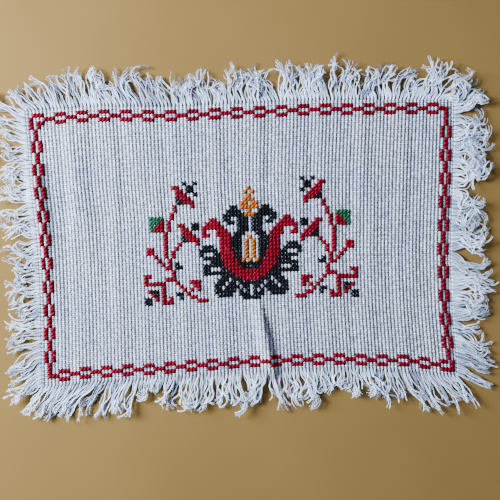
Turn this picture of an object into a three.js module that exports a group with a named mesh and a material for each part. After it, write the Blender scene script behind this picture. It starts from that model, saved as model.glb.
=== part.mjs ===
// A cross-stitch placemat of white block-weave cotton, lying face up on a table. The cloth is one ribbed
// sheet. On each side its last row of blocks is a narrow strip from which the drawn-out yarns hang as a
// fringe of locks, gathered into uneven tufts. The cloth lies flat but for one soft crease that runs into
// the lower edge and one low swell near the left edge.
// Units are millimetres, +X points right, +Y to the upper edge and +Z up. The underside lies at z = 0.
// The origin is at the middle of the whole outline, on the surface that the mat lies on.

import * as THREE from 'three';

// Driving sizes of the cloth, its ribs and its fringe
const clothWidth = 360;
const clothHeight = 232;
const ribCount = 116;
const valleyThickness = 1.0;
const ribThickness = 1.45;
const stripWidth = 2.6;
const stripGap = 0.4;
const stripThickness = 1.4;
const inset = stripWidth + stripGap;
const lockPitch = 4.8;
const lockWidth = 3.2;
const lockThickness = 1.7;
const lockSteps = 4;
const lockTaper = 0.5;
const gatheredShare = 0.6;
const mostGathered = 0.9;
const gatheredBy = 0.75;
const leanCurve = 1.3;
const shorterAtTuftSide = 0.14;
const liftedLockShare = 0.8;

// Columns of the upper face to one of the underside, where the cloth lies flat
const wideStep = 8;

// How far each edge stands out from the plain rectangle, by the distance along that edge
const topEdge = [
  { at: 0, out: -1 }, { at: 60, out: 1 }, { at: 125, out: -1 }, { at: 180, out: 0 },
  { at: 235, out: 1 }, { at: 300, out: 0 }, { at: 360, out: -1 },
];
const bottomEdge = [
  { at: 0, out: 4.5 }, { at: 50, out: 1.5 }, { at: 90, out: 0.5 }, { at: 140, out: -2 },
  { at: 185, out: -4 }, { at: 250, out: -4 }, { at: 305, out: -1.5 }, { at: 360, out: 5 },
];
const leftEdge = [
  { at: 0, out: 3.5 }, { at: 60, out: 1 }, { at: 116, out: -3.5 }, { at: 170, out: -4 }, { at: 232, out: -3 },
];
const rightEdge = [
  { at: 0, out: 0.5 }, { at: 60, out: -1 }, { at: 130, out: -5 }, { at: 165, out: -5 }, { at: 232, out: -2 },
];

// Rows of the cloth's grid, in millimetres down from the upper edge, close together on the crease
const rowsDown = [3, 34, 66, 98, 130, 160, 178, 192, 205, 217, 229];

// The crease: its crest runs down to the lower edge, steeper on its right side
const crease = { top: 162, crestAtTop: 188, crestAtEdge: 200, left: 12, right: 6, height: 3.6, rise: 44 };

// The low swell near the left edge
const swell = { top: 2, bottom: 136, crest: 37, half: 14, height: 1.6, rise: 30, fall: 50 };

// Tufts of each fringe: where along the edge, how far the tips lean along it, how far they reach out
const topTufts = [
  { at: 5, lean: -22, reach: 19 }, { at: 15, lean: -18, reach: 24 }, { at: 29, lean: -19, reach: 29 },
  { at: 41, lean: -15, reach: 31 }, { at: 51, lean: -11, reach: 32 }, { at: 61, lean: -12, reach: 28 },
  { at: 75, lean: -13, reach: 29 }, { at: 89, lean: -12, reach: 32 }, { at: 101, lean: -11, reach: 30 },
  { at: 114, lean: -9, reach: 29 }, { at: 123, lean: -7, reach: 29 }, { at: 132, lean: -8, reach: 23 },
  { at: 142, lean: -4, reach: 30 }, { at: 150, lean: -3, reach: 32 }, { at: 160, lean: 2, reach: 24 },
  { at: 170, lean: 3, reach: 33 }, { at: 182, lean: 1, reach: 33 }, { at: 199, lean: -4, reach: 30 },
  { at: 218, lean: 2, reach: 33 }, { at: 233, lean: 1, reach: 32 }, { at: 245, lean: -1, reach: 35 },
  { at: 258, lean: 6, reach: 37 }, { at: 272, lean: 6, reach: 33 }, { at: 285, lean: 7, reach: 32 },
  { at: 297, lean: 11, reach: 34 }, { at: 308, lean: 14, reach: 35 }, { at: 317, lean: 15, reach: 25 },
  { at: 329, lean: 26, reach: 27 }, { at: 341, lean: 27, reach: 28 }, { at: 354, lean: 28, reach: 17 },
];
const bottomTufts = [
  { at: 3, lean: -22, reach: 22 }, { at: 11, lean: -14, reach: 29 }, { at: 22, lean: -10, reach: 28 },
  { at: 34, lean: -10, reach: 28 }, { at: 47, lean: -10, reach: 29 }, { at: 59, lean: -11, reach: 27 },
  { at: 69, lean: -8, reach: 26 }, { at: 77, lean: -9, reach: 26 }, { at: 86, lean: -9, reach: 33 },
  { at: 94, lean: -3, reach: 18 }, { at: 103, lean: -6, reach: 13 }, { at: 115, lean: -11, reach: 28 },
  { at: 131, lean: -5, reach: 33 }, { at: 144, lean: -5, reach: 34 }, { at: 155, lean: -2, reach: 34 },
  { at: 166, lean: 0, reach: 35 }, { at: 177, lean: 3, reach: 32 }, { at: 189, lean: 0, reach: 31 },
  { at: 201, lean: 6, reach: 36 }, { at: 215, lean: 3, reach: 32 }, { at: 230, lean: 5, reach: 33 },
  { at: 243, lean: 1, reach: 28 }, { at: 255, lean: 4, reach: 24 }, { at: 269, lean: 6, reach: 28 },
  { at: 282, lean: 5, reach: 24 }, { at: 293, lean: 6, reach: 33 }, { at: 304, lean: 7, reach: 28 },
  { at: 318, lean: 15, reach: 36 }, { at: 336, lean: 13, reach: 33 }, { at: 352, lean: 13, reach: 28 },
];
const leftTufts = [
  { at: 6, lean: -10, reach: 26 }, { at: 17, lean: -12, reach: 27 }, { at: 28, lean: -9, reach: 24 },
  { at: 39, lean: 4, reach: 26 }, { at: 52, lean: 2, reach: 27 }, { at: 72, lean: -6, reach: 27 },
  { at: 86, lean: -1, reach: 29 }, { at: 100, lean: -1, reach: 28 }, { at: 116, lean: 6, reach: 27 },
  { at: 132, lean: 3, reach: 28 }, { at: 149, lean: 7, reach: 29 }, { at: 165, lean: 4, reach: 23 },
  { at: 175, lean: 1, reach: 28 }, { at: 187, lean: 3, reach: 26 }, { at: 199, lean: 12, reach: 30 },
  { at: 212, lean: 14, reach: 28 }, { at: 224, lean: 18, reach: 27 },
];
const rightTufts = [
  { at: 8, lean: -12, reach: 29 }, { at: 18, lean: 1, reach: 29 }, { at: 29, lean: 1, reach: 33 },
  { at: 42, lean: 2, reach: 27 }, { at: 57, lean: -1, reach: 31 }, { at: 68, lean: 0, reach: 31 },
  { at: 80, lean: 8, reach: 29 }, { at: 97, lean: 6, reach: 32 }, { at: 109, lean: 6, reach: 31 },
  { at: 122, lean: 4, reach: 33 }, { at: 137, lean: 13, reach: 30 }, { at: 150, lean: 10, reach: 34 },
  { at: 165, lean: 7, reach: 33 }, { at: 178, lean: 8, reach: 31 }, { at: 188, lean: 9, reach: 30 },
  { at: 200, lean: 15, reach: 33 }, { at: 213, lean: 15, reach: 35 }, { at: 225, lean: 19, reach: 35 },
];

const whiteCotton = { color: 0xd9dce6, roughness: 0.95, metalness: 0 };

// Smooth step from 0 at 0 to 1 at 1, level at both ends
function smooth(share) {
  const t = THREE.MathUtils.clamp(share, 0, 1);
  return t * t * (3 - 2 * t);
}

// How far an edge stands out at a distance along it, eased from one row of its table to the next
function standOut(edge, at) {
  const next = edge.findIndex((row) => row.at >= at);
  if (next === 0) return edge[0].out;
  if (next < 0) return edge[edge.length - 1].out;
  const [low, high] = [edge[next - 1], edge[next]];
  return low.out + (high.out - low.out) * smooth((at - low.at) / (high.at - low.at));
}

// The same for a side edge, which runs straight from one row of the grid to the next
function sideStandOut(edge, down) {
  const next = rowsDown.findIndex((row) => row >= down);
  if (next <= 0) return standOut(edge, down);
  const [low, high] = [rowsDown[next - 1], rowsDown[next]];
  return THREE.MathUtils.lerp(standOut(edge, low), standOut(edge, high), (down - low) / (high - low));
}

// The place of a point of the cloth, given by its distance from the left edge and down from the upper edge
function place(across, down) {
  const left = -clothWidth / 2 - sideStandOut(leftEdge, down);
  const right = clothWidth / 2 + sideStandOut(rightEdge, down);
  const top = clothHeight / 2 + standOut(topEdge, across);
  const bottom = -clothHeight / 2 - standOut(bottomEdge, across);
  return [left + (right - left) * (across / clothWidth), top + (bottom - top) * (down / clothHeight)];
}

// A round-topped hump, 1 at its crest and 0 at its two feet
function hump(offset, left, right) {
  const share = offset / (offset < 0 ? left : right);
  return Math.abs(share) < 1 ? Math.cos((share * Math.PI) / 2) ** 2 : 0;
}

// How far the cloth is lifted off the table by the crease and the swell
function lift(across, down) {
  const downCrease = (down - crease.top) / (clothHeight - crease.top);
  const crest = crease.crestAtTop + (crease.crestAtEdge - crease.crestAtTop) * downCrease;
  const creaseHeight = crease.height * smooth((down - crease.top) / crease.rise);
  const alongSwell = smooth((down - swell.top) / swell.rise) * smooth((swell.bottom - down) / swell.fall);
  return creaseHeight * hump(across - crest, crease.left, crease.right)
    + swell.height * alongSwell * hump(across - swell.crest, swell.half, swell.half);
}

// Collects the points and triangles of one closed body. A mirrored body has its triangles turned round.
function bodyBuilder(mirrored = false) {
  const positions = [];
  const indices = [];
  const point = (x, y, z) => positions.push(x, y, z) / 3 - 1;
  const triangle = (a, b, c) => indices.push(a, mirrored ? c : b, mirrored ? b : c);
  const quad = (a, b, c, d) => {
    triangle(a, b, c);
    triangle(a, c, d);
  };
  const mesh = (name) => {
    const geometry = new THREE.BufferGeometry();
    geometry.setAttribute('position', new THREE.Float32BufferAttribute(positions, 3));
    geometry.setIndex(indices);
    geometry.computeVertexNormals();
    const made = new THREE.Mesh(geometry, new THREE.MeshStandardMaterial(whiteCotton));
    made.name = name;
    return made;
  };
  return { point, triangle, quad, mesh };
}

// The cloth: a ribbed upper face, a smooth underside with wider columns where it lies flat, and four walls
function makeCloth() {
  const columns = ribCount * 2;
  const acrossAt = (column) => inset + ((clothWidth - 2 * inset) * column) / columns;
  const { point, triangle, quad, mesh } = bodyBuilder();

  const lifted = (column) => rowsDown.some((down) => lift(acrossAt(column), down) > 0);
  const underColumns = [];
  for (let column = 0; column <= columns; column += 1) {
    const onRise = lifted(column) || lifted(Math.min(column + 1, columns));
    if (onRise || column % wideStep === 0) underColumns.push(column);
  }

  const upper = rowsDown.map((down) => {
    const row = [];
    for (let column = 0; column <= columns; column += 1) {
      const across = acrossAt(column);
      const thickness = column % 2 === 1 ? ribThickness : valleyThickness;
      row.push(point(...place(across, down), lift(across, down) + thickness));
    }
    return row;
  });
  const under = rowsDown.map((down) => underColumns.map((column) => {
    const across = acrossAt(column);
    return point(...place(across, down), lift(across, down));
  }));

  const lastRow = rowsDown.length - 1;
  const lastUnder = underColumns.length - 1;
  for (let row = 0; row < lastRow; row += 1) {
    for (let column = 0; column < columns; column += 1) {
      quad(upper[row][column], upper[row + 1][column], upper[row + 1][column + 1], upper[row][column + 1]);
    }
    for (let column = 0; column < lastUnder; column += 1) {
      quad(under[row][column], under[row][column + 1], under[row + 1][column + 1], under[row + 1][column]);
    }
    quad(upper[row][0], under[row][0], under[row + 1][0], upper[row + 1][0]);
    quad(upper[row][columns], upper[row + 1][columns], under[row + 1][lastUnder], under[row][lastUnder]);
  }

  // An end wall joins all the columns above to the wider columns below
  const endWall = (upperRow, underRow, facing) => {
    for (let k = 0; k < lastUnder; k += 1) {
      const [first, last] = [underColumns[k], underColumns[k + 1]];
      const middle = Math.floor((first + last) / 2);
      for (let column = first; column < last; column += 1) {
        const foot = underRow[column < middle ? k : k + 1];
        facing(upperRow[column], upperRow[column + 1], foot);
      }
      facing(underRow[k + 1], underRow[k], upperRow[middle]);
    }
  };
  endWall(upper[0], under[0], triangle);
  endWall(upper[lastRow], under[lastRow], (a, b, c) => triangle(a, c, b));
  return mesh('cloth');
}

// The tufts of a fringe with the stretch of edge that each takes up, halfway to its neighbours
function tuftSpans(tufts, from, to) {
  return tufts.map((tuft, index) => ({
    ...tuft,
    start: index === 0 ? from : (tufts[index - 1].at + tuft.at) / 2,
    end: index === tufts.length - 1 ? to : (tufts[index + 1].at + tuft.at) / 2,
  }));
}

// How much longer a leaning tuft is than its reach
function slantOf(tuft) {
  return Math.hypot(1, tuft.lean / tuft.reach);
}

// One lock's path, as distances along the edge and out from it. It is drawn towards the middle of its tuft,
// leans with it, and ends sooner the further it starts from that middle. A tuft that leans a lot gathers less.
function lockPath(root, tuft) {
  const offset = root - tuft.at;
  const half = offset < 0 ? tuft.at - tuft.start : tuft.end - tuft.at;
  const reach = tuft.reach * (1 - shorterAtTuftSide * (offset / half) ** 2);
  const gathered = Math.min(mostGathered, gatheredShare * slantOf(tuft));
  return Array.from({ length: lockSteps + 1 }, (_, step) => {
    const share = step / lockSteps;
    const out = reach * share;
    const outShare = out / tuft.reach;
    const spread = 1 - (1 - gathered) * smooth(outShare / gatheredBy);
    return { along: tuft.at + offset * spread + tuft.lean * outShare ** leanCurve, out, share };
  });
}

// One fringe: a strip as long as its edge, whose outer face runs out into three-sided locks. A side gives the
// place of a point by its distance along the edge and out from it, and how far the strip is lifted there.
function makeFringe({ name, tufts, from, to, at, liftAt, mirrored }) {
  const { point, triangle, quad, mesh } = bodyBuilder(mirrored);
  const put = (along, out, up) => point(...at(along, out), up);

  // One cross-section of the strip. Where a lock starts, its outer foot is two points, a lock's width apart.
  const station = (along, footWidth) => {
    const base = liftAt(along);
    const innerFoot = put(along, -stripWidth, base);
    const innerTop = put(along, -stripWidth, base + stripThickness);
    const ridge = put(along, 0, base + stripThickness);
    const leftFoot = put(along - footWidth / 2, 0, base);
    const rightFoot = footWidth > 0 ? put(along + footWidth / 2, 0, base) : leftFoot;
    return { innerFoot, innerTop, ridge, leftFoot, rightFoot, base };
  };

  const growLock = (root, start) => {
    const tuft = tuftSpans(tufts, from, to).find((span) => root < span.end);
    const path = lockPath(root, tuft);
    let last = { left: start.leftFoot, top: start.ridge, right: start.rightFoot };
    for (let step = 1; step <= lockSteps; step += 1) {
      const here = path[step];
      const before = path[step - 1];
      const after = path[Math.min(step + 1, lockSteps)];
      const length = Math.hypot(after.along - before.along, after.out - before.out);
      const taper = 1 - lockTaper * here.share;
      const half = (lockWidth * taper) / (2 * slantOf(tuft));
      const sideAlong = (half * (after.out - before.out)) / length;
      const sideOut = (-half * (after.along - before.along)) / length;
      const base = start.base * (1 - smooth(here.share / liftedLockShare));
      const next = {
        left: put(here.along - sideAlong, here.out - sideOut, base),
        top: put(here.along, here.out, base + lockThickness * taper),
        right: put(here.along + sideAlong, here.out + sideOut, base),
      };
      quad(last.left, last.top, next.top, next.left);
      quad(last.right, next.right, next.top, last.top);
      quad(last.left, next.left, next.right, last.right);
      last = next;
    }
    triangle(last.left, last.top, last.right);
  };

  const lockCount = Math.floor((to - from) / lockPitch);
  const pitch = (to - from) / lockCount;
  const start = station(from, 0);
  const stations = [start];
  for (let index = 0; index < lockCount; index += 1) {
    const root = from + pitch * (index + 0.5);
    const section = station(root, lockWidth);
    triangle(section.innerFoot, section.leftFoot, section.rightFoot);
    growLock(root, section);
    stations.push(section);
  }
  const end = station(to, 0);
  stations.push(end);

  for (let index = 1; index < stations.length; index += 1) {
    const [a, b] = [stations[index - 1], stations[index]];
    quad(a.innerTop, b.innerTop, b.ridge, a.ridge);
    quad(a.innerFoot, a.rightFoot, b.leftFoot, b.innerFoot);
    quad(a.innerFoot, b.innerFoot, b.innerTop, a.innerTop);
    quad(a.ridge, b.ridge, b.leftFoot, a.rightFoot);
  }
  quad(start.innerFoot, start.innerTop, start.ridge, start.leftFoot);
  quad(end.innerFoot, end.leftFoot, end.ridge, end.innerTop);
  return mesh(name);
}

// The four sides. The left and right strips stop short of the upper and lower ones.
const sides = [
  {
    name: 'fringe_top', tufts: topTufts, from: 0, to: clothWidth, mirrored: false,
    at: (along, out) => [place(along, 0)[0], place(along, 0)[1] + out],
    liftAt: (along) => lift(along, 0),
  },
  {
    name: 'fringe_bottom', tufts: bottomTufts, from: 0, to: clothWidth, mirrored: true,
    at: (along, out) => [place(along, clothHeight)[0], place(along, clothHeight)[1] - out],
    liftAt: (along) => lift(along, clothHeight),
  },
  {
    name: 'fringe_left', tufts: leftTufts, from: inset, to: clothHeight - inset, mirrored: true,
    at: (along, out) => [place(0, along)[0] - out, place(0, along)[1]],
    liftAt: () => 0,
  },
  {
    name: 'fringe_right', tufts: rightTufts, from: inset, to: clothHeight - inset, mirrored: false,
    at: (along, out) => [place(clothWidth, along)[0] + out, place(clothWidth, along)[1]],
    liftAt: () => 0,
  },
];

const placemat = new THREE.Group();
placemat.add(makeCloth(), ...sides.map(makeFringe));

// The origin goes to the middle of the whole outline
const middle = new THREE.Box3().setFromObject(placemat).getCenter(new THREE.Vector3());
placemat.position.set(-middle.x, -middle.y, 0);
placemat.updateMatrixWorld(true);

export default placemat;
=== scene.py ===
"""A cross-stitch placemat of white block-weave cotton with a self-fringe, lying on a plain floor.

The cloth is one thin sheet with raised ribs, the embroidery is real crossed threads on its blocks, and the
fringe is loose plied yarns. Sizes are in millimetres and become metres when a mesh is made.
"""

import math
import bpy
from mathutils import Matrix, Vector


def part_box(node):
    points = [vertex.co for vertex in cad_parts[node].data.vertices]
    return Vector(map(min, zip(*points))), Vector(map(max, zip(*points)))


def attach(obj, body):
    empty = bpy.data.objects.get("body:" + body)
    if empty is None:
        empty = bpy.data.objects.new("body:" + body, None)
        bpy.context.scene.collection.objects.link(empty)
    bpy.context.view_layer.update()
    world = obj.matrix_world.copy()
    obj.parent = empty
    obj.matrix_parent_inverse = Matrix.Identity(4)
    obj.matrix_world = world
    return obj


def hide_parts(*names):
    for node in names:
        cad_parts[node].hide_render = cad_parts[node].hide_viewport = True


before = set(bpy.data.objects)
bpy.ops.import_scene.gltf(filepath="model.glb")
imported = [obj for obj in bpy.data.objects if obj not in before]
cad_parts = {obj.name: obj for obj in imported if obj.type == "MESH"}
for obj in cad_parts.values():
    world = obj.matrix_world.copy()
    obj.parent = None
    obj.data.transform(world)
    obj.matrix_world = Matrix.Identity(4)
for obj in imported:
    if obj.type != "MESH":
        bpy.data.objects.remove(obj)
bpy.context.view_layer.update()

from types import SimpleNamespace

import bpy
import numpy as np

MM = 0.001
FULL_TURN = 2 * math.pi
TINY = 1e-9

# The cloth's plain size and its count of blocks
CLOTH_WIDTH = 360.0
CLOTH_HEIGHT = 232.0
BLOCKS_ACROSS = 118
BLOCKS_DOWN = 71

# How far each edge stands out from the plain rectangle: distance along the edge, stand-out
TOP_EDGE = ((0, -1), (60, 1), (125, -1), (180, 0), (235, 1), (300, 0), (360, -1))
BOTTOM_EDGE = ((0, 4.5), (50, 1.5), (90, 0.5), (140, -2), (185, -4), (250, -4), (305, -1.5), (360, 5))
LEFT_EDGE = ((0, 3.5), (60, 1), (116, -3.5), (170, -4), (232, -3))
RIGHT_EDGE = ((0, 0.5), (60, -1), (130, -5), (165, -5), (232, -2))

# The rows between which a side edge runs straight. The panel is the cloth without its outermost row of
# blocks, and its box is found from so many points along each row.
SIDE_ROWS = (0, 3, 34, 66, 98, 130, 160, 178, 192, 205, 217, 229, 232)
PANEL_INSET = 3.0
OUTLINE_STEPS = 400

# Near the upper edge the blocks are drawn to the right: distance along the edge, drift. It fades over one
# length down the cloth, and over another out along the fringe.
TOP_DRIFT = ((0, -1.2), (75, -0.4), (150, 1.2), (204, 2.8), (256, 3.3), (320, 2.8), (360, 1.4))
DRIFT_DEPTH = 75
DRIFT_OUTSIDE = 12

# The crease that runs into the lower edge, the low swell near the left edge, and the rolled left edge
CREASE = {"top": 160, "crest_at_top": 188, "crest_at_edge": 200, "left": 12, "right_at_top": 3.4,
          "right_at_edge": 6.4, "height": 3.6, "rise": 42}
SWELL = {"top": 2, "bottom": 136, "crest": 41, "left": 16, "right": 14, "height": 1.5,
         "rise": 30, "fall": 50}
ROLL = {"top": 26, "bottom": 190, "crest": 5, "left": 12, "right": 13, "height": 2.9,
        "rise": 34, "fall": 118}

# Faint upright ripples of the whole cloth: wavelength, height, phase, sway to the side and length of a sway
RIPPLES = ((31, 0.22, 0.4, 0.9, 190), (17.5, 0.15, 2.1, 1.3, 140), (12.3, 0.09, 4.0, 1.6, 260))

# The weave: thickness in the valleys, height of a rib above them, the exponent that rounds it, how it dips
# between its blocks and at their corners, how far a valley waves to the side, and the grid steps of a block
VALLEY_THICKNESS = 0.85
RIB_HEIGHT = 0.85
RIB_ROUNDNESS = 0.6
BLOCK_DIP = 0.22
CORNER_DIP = 0.3
VALLEY_WAVE = 0.07
COLUMNS_PER_BLOCK = 4
ROWS_PER_BLOCK = 2

# Painted shade of the weave: how far each dark part reaches from its own middle, in blocks or
# pillows. Where there are two numbers, it is full up to the first and gone past the second.
VALLEY_REACH = 0.34
PILLOW_GAP_REACH = 0.4
HOLE_RADII = (0.06, 0.27)
EDGE_HOLE_RADII = (0.15, 0.4)
EDGE_HOLES_INSIDE = 0.42
EDGE_BAND = (0.3, 0.9)

# Painted shade of the weave: how dark each part gets, with a random unevenness, and how much single
# pillows and ribs differ in tone
VALLEY_SHADE = 0.89
PILLOW_GAP_SHADE = 0.75
HOLE_SHADE = 0.35
UNEVEN_SHADE = 0.38
EDGE_BAND_SHADE = 0.5
DEEPEST_SHADE = 0.95
PILLOWS_PER_BLOCK = 2.0
PILLOW_TONES = 0.42
RIB_TONES = 0.25

# Embroidery: how far an arm reaches past its block, its height, how high each arm lies on the rib, how deep
# its ends sink into the holes, the exponent of its arch, and where on a half sine its thickness begins
ARM_OVERREACH = 0.17
ARM_HEIGHT = 0.8
LOWER_ARM_RISE = 0.18
UPPER_ARM_RISE = 0.55
ARM_SINK = 0.25
ARM_ARCH = 0.7
ARM_END = 0.24
ARM_STEPS = 5
ARM_SIDES = 6

# How much single arms differ: place of their ends in blocks, height, thickness and tone, and the painted
# shade of each lower arm under its upper one
ARM_PLACES = 0.05
ARM_LEVELS = 0.03
ARM_THICKNESSES = 0.06
ARM_TONES = 0.55
LOWER_ARM_PAINTED_SHADE = 0.2

# The border's middle lines, in blocks from the cloth's left and upper edge, and its links
BORDER_LEFT = 2
BORDER_RIGHT = 115
BORDER_TOP = 2
BORDER_BOTTOM = 68
LINK_PITCH = 6
FIRST_UPPER_LINK = 8
FIRST_LOWER_LINK = 5
LINKS_LONG = 18
LINKS_SHORT = 10

# The middle column and first row of the motif
MOTIF_COLUMN = 60
MOTIF_ROW = 22

# Each thread's bright colour, its dark colour for painted shade and darker arms, and the width of one arm
# of a cross
THREADS = {
    "red": ((0.135, 0.0, 0.008), (0.012, 0.0, 0.001), 1.78),
    "black": ((0.0035, 0.0035, 0.0048), (0.001, 0.001, 0.001), 1.45),
    "gold": ((0.295, 0.069, 0.0), (0.09, 0.010, 0.0), 1.55),
    "green": ((0.009, 0.077, 0.035), (0.001, 0.014, 0.008), 1.45),
}
FIRST_THREAD_SEED = 21

# Colours of the cotton and of the floor, with the painted shade of the weave and of the yarns
COTTON_COOL = (0.60, 0.72, 1.0)
COTTON_BRIGHT = (0.74, 0.84, 1.0)
PILLOW_GREY = (0.35, 0.37, 0.47)
RIB_GREY = (0.41, 0.42, 0.50)
# Painted shade: the colour that the valleys, pillow gaps and holes of the weave darken towards
WEAVE_PAINTED_SHADE = (0.077, 0.075, 0.107)
# The yarns run from this dark colour to the bright one below: painted shade on low yarns and the sides of
# bunches, painted light on high ones, and each yarn's random brightness
YARN_DARK_AND_SHADE = (0.035, 0.055, 0.12)
YARN_BRIGHT = (0.64, 0.77, 1.0)
FIBRE_GREY = (0.34, 0.38, 0.48)
FLOOR_DEEP = (0.128, 0.078, 0.025)
FLOOR_PALE = (0.144, 0.088, 0.029)

# The yarns of a fringe leave each block as a bunch: its width as a share of the block's, and the share of
# their length over which it opens
LONG_SIDE_BUNCH = (0.42, 0.2)
SHORT_SIDE_BUNCH = (0.8, 0.1)

# Locks of the fringe: how they gather into tufts, how far they reach, and how their yarns close up
BLOCKS_IN_LOCK = (1, 1, 2, 2, 3)
LOCK_STEPS = 60
GATHERED_SHARE = 0.74
MOST_GATHERED = 0.9
GATHERED_BY = 0.75
LEAN_CURVE = 1.1
SHORTER_AT_TUFT_SIDE = 0.14
LOCK_REACHES = (0.86, 1.08)
CURL_LENGTHENS = 0.25
LOCK_CLOSES = 0.28
LOCK_CLOSED_BY = 0.6

# How a lock turns on its way, in radians: a plain amount, what a full curl adds and what looseness adds. A
# wave's fourth number is the share of the length by which it is full. Rates are waves for each length.
SLOW_WAVE = (0.10, 0.75, 0.0, 0.3)
SLOW_RATES = (0.6, 1.2)
QUICK_WAVE = (0.08, 0.35, 0.0, 0.4)
QUICK_RATE = 2.3
HOOK = (0.2, 2.6, 0.0)
HOOK_STARTS = (0.35, 0.7)

# How a yarn differs from its lock: mean and spread of its share of the lock's length, and as above, its
# turns in radians and its distances aside in millimetres
YARN_REACH = (0.88, 0.12)
SHORTEST_YARN = 0.5
YARN_RATES = (0.7, 1.6)
STRAY_WAVE = (0.05, 0.5, 0.22, 0.4)
STRAY_BEND = (0.05, 1.1, 0.5)
STRAY_BEND_START = 0.5
ASIDE_WAVE = (0.2, 0.0, 0.8, 0.5)
ASIDE_BEND = (0.3, 0.0, 1.6)
ASIDE_BEND_START = 0.45
SQUARE_TO_LOCK_BY = 0.25
ROOT_INSIDE = 0.5
OUTSIDE_BY = 0.1

# Heights in the fringe: the heap's, what curl adds, a lock's own depth, and the lift and ripple of the tips
HEAP = 2.0
CURL_HEAPS = 1.2
HEAP_THINS = 0.4
LOCK_DEPTH = 1.3
TIP_LIFT = 3.5
TIP_LIFT_CURVE = 1.6
TIP_RIPPLE = 0.3
ROOT_RISE = 0.35
FALLEN_BY = 0.3

# The plies of a yarn: their twist, how they part towards the tip, and how they thin out
PLIES = 3
PLY_SIDES = 3
PLY_RADIUS = 0.27
PLY_RADII = 0.08
PLY_THINS = 0.45
PLY_PRESSED = 0.9
TWIST_RADIUS = 0.26
TWIST_PITCH = 5.0
PLIES_PART = (0.1, 0.0, 1.1)
PLIES_PART_START = 0.55
PLIES_RISE = 0.4
TWIST_FLATTENS = 0.5

# Tone of a yarn, from dark to bright: a plain part, its own random part, painted light that grows with its
# height in the heap, and painted shade at the sides of its bunch
PLAIN_TONE = 0.15
OWN_TONE = 0.65
HEIGHT_PAINTED_LIGHT = 0.5
HEAP_FOOT = 0.5
HEAP_DEPTH = 3.8
BUNCH_SIDE_PAINTED_SHADE = 0.5

# Tufts of each fringe: place along the edge, lean of the tips, reach, curl (0 combed to 1 curly), looseness
TOP_TUFTS = (
    (5, -22, 19, 0.2, 0.5), (15, -18, 24, 0.1, 0.4), (29, -19, 31, 0.1, 0.5), (41, -15, 34, 0.1, 0.6),
    (51, -11, 35, 0.1, 0.5), (61, -12, 32, 0.2, 0.6), (75, -13, 32, 0.2, 0.7), (89, -12, 34, 0.2, 0.6),
    (101, -11, 33, 0.2, 0.6), (113, -9, 32, 0.2, 0.6), (122, -4, 31, 0.2, 0.6), (132, -7, 18, 0.3, 0.6),
    (142, -4, 30, 0.3, 0.7), (150, -3, 32, 0.3, 0.7), (160, 2, 24, 0.5, 0.8), (170, 3, 33, 0.3, 0.8),
    (182, 1, 34, 0.3, 0.8), (199, -6, 29, 0.3, 0.7), (218, 2, 33, 0.3, 0.8), (233, 1, 32, 0.3, 0.8),
    (245, -1, 35, 0.3, 0.7), (258, 6, 37, 0.3, 0.7), (272, 6, 33, 0.4, 0.7), (285, 7, 32, 0.3, 0.7),
    (297, 11, 34, 0.2, 0.6), (308, 14, 35, 0.2, 0.5), (317, 15, 25, 0.5, 0.7), (329, 26, 27, 0.3, 0.5),
    (341, 27, 28, 0.5, 0.6), (354, 28, 17, 0.8, 0.8),
)
BOTTOM_TUFTS = (
    (3, -20, 26, 0.1, 0.6), (13, -21, 31, 0.1, 0.6), (25, -24, 31, 0.1, 0.6), (38, -25, 30, 0.1, 0.6),
    (51, -23, 29, 0.1, 0.6), (62, -17, 29, 0.1, 0.5), (69, -13, 27, 0.2, 0.5), (75, -12, 27, 0.2, 0.5),
    (82, -12, 34, 0.1, 0.4), (91, -5, 16, 0.3, 0.6), (100, -6, 12, 0.4, 0.6), (113, -11, 28, 0.2, 0.6),
    (131, -5, 33, 0.3, 0.6), (144, -5, 34, 0.3, 0.7), (155, -2, 34, 0.3, 0.7), (166, 0, 35, 0.3, 0.7),
    (178, 4, 33, 0.4, 0.9), (190, 4, 34, 0.4, 1.0), (201, 5, 36, 0.1, 0.4), (214, 2, 30, 0.4, 0.8),
    (230, 6, 32, 0.4, 0.8), (243, 1, 28, 0.5, 0.8), (255, 4, 24, 0.6, 0.8), (268, 4, 28, 0.3, 0.7),
    (282, 7, 24, 0.4, 0.7), (293, 5, 33, 0.3, 0.6), (303, 9, 28, 0.2, 0.5), (313, 17, 36, 0.2, 0.5),
    (325, 20, 34, 0.1, 0.4), (338, 21, 32, 0.1, 0.4), (352, 21, 27, 0.1, 0.5),
)
LEFT_TUFTS = (
    (6, -14, 31, 0.1, 0.6), (16, -13, 32, 0.1, 0.6), (27, -9, 30, 0.1, 0.6), (39, -4, 28, 0.3, 0.8),
    (52, -1, 28, 0.3, 0.8), (66, 0, 29, 0.4, 0.7), (80, 1, 31, 0.4, 0.7), (98, -1, 28, 0.4, 0.8),
    (115, 5, 30, 0.4, 0.8), (132, 3, 31, 0.3, 0.8), (149, 6, 31, 0.3, 0.8), (163, 4, 28, 0.3, 0.7),
    (175, 2, 31, 0.3, 0.7), (187, 5, 30, 0.4, 0.7), (199, 11, 31, 0.2, 0.6), (212, 14, 30, 0.1, 0.5),
    (224, 18, 29, 0.1, 0.5),
)
RIGHT_TUFTS = (
    (7, -7, 27, 0.5, 0.6), (17, -1, 29, 0.8, 0.8), (29, 1, 33, 1.0, 0.8), (42, 2, 27, 1.0, 0.8),
    (57, -1, 31, 0.9, 0.8), (68, 0, 31, 0.9, 0.8), (80, 8, 29, 1.0, 0.8), (97, 6, 32, 0.8, 0.7),
    (109, 6, 31, 0.7, 0.7), (122, 2, 33, 0.5, 0.5), (137, 15, 30, 0.25, 0.4), (150, 10, 34, 0.3, 0.5),
    (165, 7, 33, 0.4, 0.6), (177, 6, 31, 0.4, 0.6), (188, 7, 22, 0.4, 0.6), (200, 15, 33, 0.2, 0.5),
    (213, 15, 35, 0.1, 0.4), (225, 19, 35, 0.1, 0.4),
)

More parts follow.
